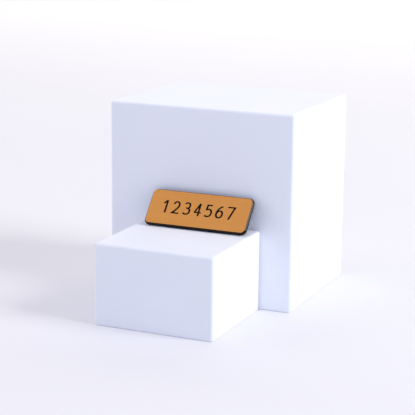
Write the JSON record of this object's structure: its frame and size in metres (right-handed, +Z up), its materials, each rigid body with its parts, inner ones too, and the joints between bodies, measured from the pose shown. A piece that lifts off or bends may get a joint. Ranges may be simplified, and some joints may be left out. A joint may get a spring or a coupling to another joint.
{
  "type": "name badge on display blocks",
  "caption": "Rounded rectangular engraved name badge with a black core, a copper-coloured face and a magnetic fastener on its back, leaning on plain white display blocks.",
  "frame": {"origin": "centre of the bottom of the box that holds both blocks, on the surface they stand on", "axes": "+X along the badge's width, to the right of someone who reads it; +Y from the low block to the tall one; +Z up"},
  "size_m": [0.127, 0.1754, 0.1265],
  "materials": {
    "block_paint": "smooth matte white paint on solid wood",
    "black_core": "satin",
    "copper_cap": "satin metallic copper-coloured laminate cap",
    "plated_steel": "satin nickel plate, the case of the magnetic fastener"
  },
  "bodies": {
    "root": {"tall_block": "block_paint", "low_block": "block_paint", "badge_core": "black_core", "badge_cap": "copper_cap", "cap_island_1": "copper_cap", "cap_island_2": "copper_cap", "fastener_bar": "plated_steel"}
  },
  "joints": []
}
